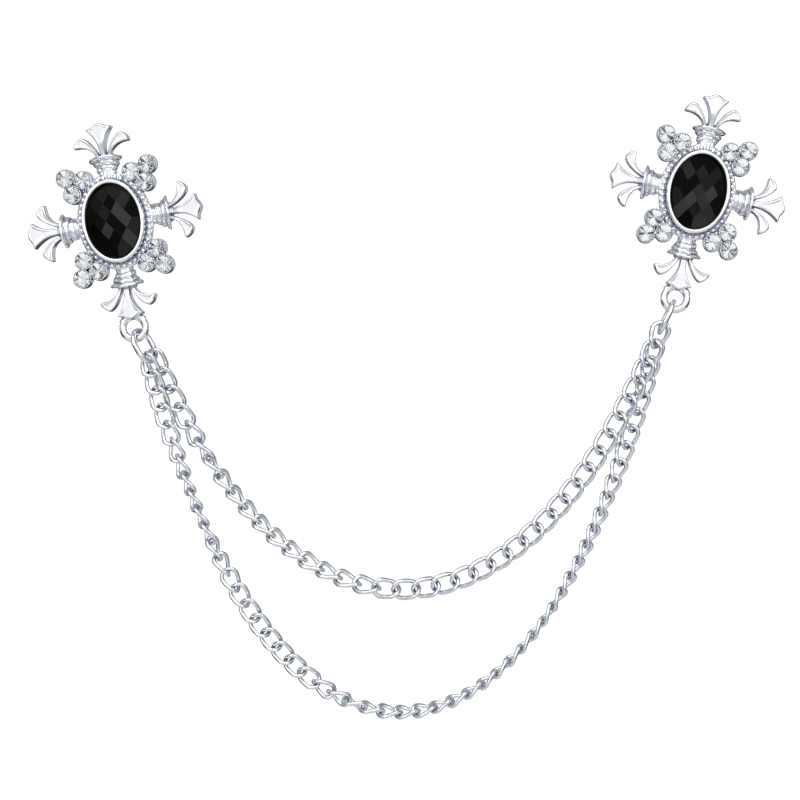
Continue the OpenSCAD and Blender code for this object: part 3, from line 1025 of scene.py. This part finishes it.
def makeFoil():
    # painted shade: some facets are painted dark by their direction, standing in for facets that
    # send the light elsewhere
    material, bench, shader, coordinates = newFinish("crystalFoil")
    cloud = bench.noise(coordinates, crystalLook["cloud"], 3)
    direction = bench.node("ShaderNodeTexCoord", output=1)
    facetLight = bench.ramp(bench.noise(direction, crystalLook["facets"], 0), crystalLook["facetLightTones"])
    low, spread = crystalLook["foilRough"]
    bench.feed(shader, {
        "Base Color": bench.mix(facetLight, crystalLook["foilPaintedShade"], crystalLook["foil"]),
        "Metallic": 1.0,
        "Roughness": low + cloud * spread,
    })
    return material


floorLook = {
    "dark": (0.93, 0.93, 0.93, 1), "light": (0.96, 0.96, 0.96, 1), "cloud": 6,
    "rough": (0.85, 0.1),
}


def makeFloorFinish():
    material, bench, shader, coordinates = newFinish("paleFloor")
    cloud = bench.noise(coordinates, floorLook["cloud"], 3)
    low, spread = floorLook["rough"]
    bench.feed(shader, {
        "Base Color": bench.mix(cloud, floorLook["dark"], floorLook["light"]),
        "Roughness": low + cloud * spread,
    })
    return material


finishes = {name: makePlating(name) for name in plating}
finishes["stone"] = makeStoneFinish()
finishes["glass"] = makeGlass()
finishes["foil"] = makeFoil()
finishes["floor"] = makeFloorFinish()
print("finishes made")


def dress(piece, finish, slot, *nodes):
    if finish:
        piece.data.materials.clear()
        piece.data.materials.append(finishes[finish])
    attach(piece, "root")
    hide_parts(*nodes)


toMetres = Matrix.Scale(millimetre, 4)


def makeBrooches():
    # each with its finish, its slot and the nodes that it stands for
    crystals = [f"crystal_{i + 1}" for i in range(len(crystalSpots()))]
    models = {
        "Casting": (makeCasting(), "casting", "casting", ["casting"]),
        "Crystals": (makeCrystals(finishes["glass"], finishes["foil"]), None, "crystal", crystals),
        "BackPin": (makePin(), "pin", "pin", ["pin"]),
    }
    for side in sides:
        for part, (model, finish, slot, nodes) in models.items():
            piece = twin(model, toMetres @ standing(side))
            piece.name = side + part
            piece.data.name = side + part
            dress(piece, finish, slot, *[f"{side}_{node}" for node in nodes])
        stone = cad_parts[side + "_stone"]
        stone.data.materials.clear()
        stone.data.materials.append(finishes["stone"])
    for model, *_ in models.values():
        bpy.data.objects.remove(model)


def makeHangings():
    for side in sides:
        piece = place(makeConnector(side), toMetres)
        dress(piece, "connector", "connector", side + "_connector")
    for name in chains:
        piece = place(makeChain(name), toMetres)
        dress(piece, "chain", "chain", name + "_chain")


makeBrooches()
print("brooches made")
makeHangings()
print("connectors and chains made")

studio = {
    "floorHeight": -0.42, "floorSize": 1.2,
    "aim": (0.0546, -0.006, -0.0354),      # middle of the photo, in the plane of the stones
    "distance": 0.6, "lens": 140.4, "sensor": 36, "clipStart": 0.01,
    # brightness of the surroundings from the camera's side to the far side, from low to high,
    # and in patches, with how strong the patches are from the camera's side to the far side
    "ring": [(0, 1.04), (0.04, 1), (0.13, 0.96), (0.22, 0.8), (0.3, 0.42),
             (0.37, (0.17, 0.19, 0.22)), (0.44, (0.2, 0.22, 0.25)), (0.5, 0.55),
             (0.62, (0.4, 0.43, 0.47)), (0.9, (0.4, 0.43, 0.47)), (0.983, (0.36, 0.39, 0.43)),
             (0.991, 1.1), (1, 1.1)],
    "tall": [(0, 0.15), (0.4, 0.2), (0.432, 1.0), (0.7, 1.1), (1, 0.8)],
    "tallness": [(0, 0.4), (0.2, 0.6), (0.5, 1)],
    "patchSize": 2.4,
    "patches": [(0.38, (0.3, 0.34, 0.4)), (0.5, 1), (0.62, 1.4)],
    "patchy": [(0, 0.1), (0.12, 0.2), (0.3, 1), (0.95, 1), (0.983, 0.3), (0.991, 0)],
    "lights": {      # place, size, power
        "topSoftbox": ((0.05, -0.45, 0.75), (0.9, 0.5), 2.5),
        "leftSoftbox": ((-0.55, -0.8, 0.25), (0.25, 0.5), 0.8),
        "rightSoftbox": ((0.65, -0.8, 0.2), (0.25, 0.5), 0.8),
    },
}


def makeFloor():
    bpy.ops.object.select_all(action="DESELECT")
    bpy.ops.mesh.primitive_plane_add(size=studio["floorSize"],
                                     location=(studio["aim"][0], 0, studio["floorHeight"]))
    floor = named("floor")
    bpy.ops.object.transform_apply(location=True)
    floor.data.materials.append(finishes["floor"])


def makeWorld():
    world = bpy.data.worlds.new("studio")
    bpy.context.scene.world = world
    world.use_nodes = True
    bench = Bench(world.node_tree)
    direction = bench.node("ShaderNodeTexCoord", output=0)
    far = bench.part(direction, "y") * 0.5 + 0.5
    high = bench.part(direction, "z") * 0.5 + 0.5
    ring = bench.ramp(far, studio["ring"])
    tall = bench.ramp(high, studio["tall"])
    patches = bench.ramp(bench.noise(direction, studio["patchSize"], 2), studio["patches"])
    shaded = bench.multiply(bench.ramp(far, studio["tallness"]), ring, tall)
    background = world.node_tree.nodes["Background"]
    bench.feed(background, {
        "Color": bench.multiply(bench.ramp(far, studio["patchy"]), shaded, patches),
        "Strength": 1.0,
    })


def makeLight(name, at, size, power):
    aim = Vector(studio["aim"])
    bpy.ops.object.light_add(type="AREA", location=at)
    light = bpy.context.active_object
    light.name = name
    light.data.shape = "RECTANGLE"
    light.data.size, light.data.size_y = size
    light.data.energy = power
    light.rotation_euler = (aim - Vector(at)).to_track_quat("-Z", "Y").to_euler()


def makeCamera():
    aim = Vector(studio["aim"])
    bpy.ops.object.camera_add(location=aim + Vector((0, -studio["distance"], 0)),
                              rotation=(math.radians(90), 0, 0))
    camera = bpy.context.active_object
    camera.data.lens = studio["lens"]
    camera.data.sensor_width = studio["sensor"]
    camera.data.clip_start = studio["clipStart"]
    bpy.context.scene.camera = camera


makeFloor()
makeWorld()
for name, light in studio["lights"].items():
    makeLight(name, *light)
makeCamera()
bpy.context.scene.view_settings.view_transform = "Standard"
print("studio made")
